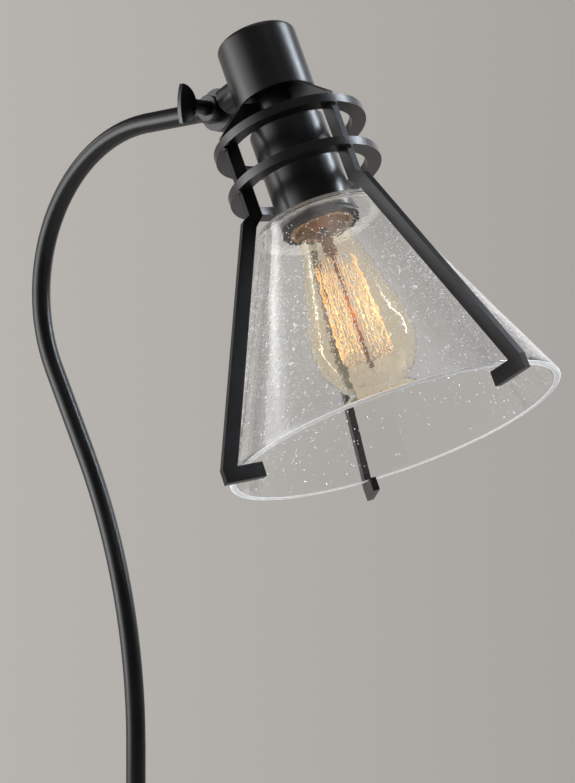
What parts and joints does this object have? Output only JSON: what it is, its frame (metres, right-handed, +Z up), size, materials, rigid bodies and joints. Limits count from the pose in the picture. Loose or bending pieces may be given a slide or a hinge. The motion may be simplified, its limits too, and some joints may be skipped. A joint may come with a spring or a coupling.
{
  "type": "floor lamp",
  "caption": "Slender floor lamp: a round weighted base, a pole with a rotary switch, an S-curved arm and a tilting caged head with a clear cone glass shade and a filament bulb.",
  "frame": {"origin": "centre of the base's underside, on the floor, under the pole's axis", "axes": "+Z up along the pole, +X the way the head reaches, the arm bent in the XZ plane"},
  "size_m": [0.4551, 0.26, 1.5215],
  "materials": {
    "black_metal": "satin black powder coat",
    "steel": "zinc plated",
    "iron": "raw casting",
    "felt": "felt",
    "rubber": "moulded",
    "bakelite": "moulded thermoset",
    "phenolic": "brown moulded thermoset",
    "lead": "insulated wire",
    "friction": "pressed fibre",
    "brass": "plain",
    "shade_glass": "clear seeded glass",
    "bulb_glass": "amber clear glass",
    "stem_glass": "clear glass rod",
    "wire": "drawn wire",
    "filament": "glowing wire"
  },
  "bodies": {
    "stand": {"base_pad": "felt", "base_weight": "iron", "base_cover": "black_metal", "base_washer": "steel", "base_nut": "steel", "base_nipple": "steel", "cord_grommet": "rubber", "pole_flange": "black_metal", "pole_insert": "steel", "pole_lower": "black_metal", "pole_sleeve": "steel", "pole_upper": "black_metal", "switch_housing": "black_metal", "switch_body": "bakelite", "switch_nut": "steel", "pole_lead": "lead", "arm_tube": "black_metal", "arm_lead": "lead", "swivel_arm_half": "black_metal"},
    "head": {"swivel_head_half": "black_metal", "swivel_washer": "friction", "swivel_nut": "steel", "head_cap": "black_metal", "cap_plate": "black_metal", "cap_nut": "steel", "head_nipple": "steel", "head_lead": "lead", "neck_spacer": "black_metal", "socket_cup": "black_metal", "cage_ring_lower": "black_metal", "cage_ring_upper": "black_metal", "strap_middle": "black_metal", "strap_front": "black_metal", "strap_rear": "black_metal", "socket_body": "phenolic", "socket_shell": "brass", "socket_contact": "brass", "shade_ring": "bakelite", "glass_shade": "shade_glass", "bulb_glass": "bulb_glass", "bulb_cap": "brass", "bulb_stem": "stem_glass", "bulb_supports": "wire", "bulb_filament": "filament"},
    "thumb_screw": {"thumb_screw": "black_metal"},
    "switch_knob": {"switch_knob": "bakelite"}
  },
  "joints": [
    {"name": "head_tilt", "type": "hinge", "parent": "stand", "child": "head", "pos_m": [0.07274, 0, 1.47276], "axis": [0, -1, 0], "range_deg": [-24, 66]},
    {"name": "thumb_screw_turn", "type": "hinge", "parent": "head", "child": "thumb_screw", "pos_m": [0.07274, -0.02, 1.47276], "axis": [0, -1, 0], "range_deg": [0, 360]},
    {"name": "switch_turn", "type": "hinge", "parent": "stand", "child": "switch_knob", "pos_m": [0, -0.025, 0.931], "axis": [0, -1, 0], "continuous": true}
  ]
}
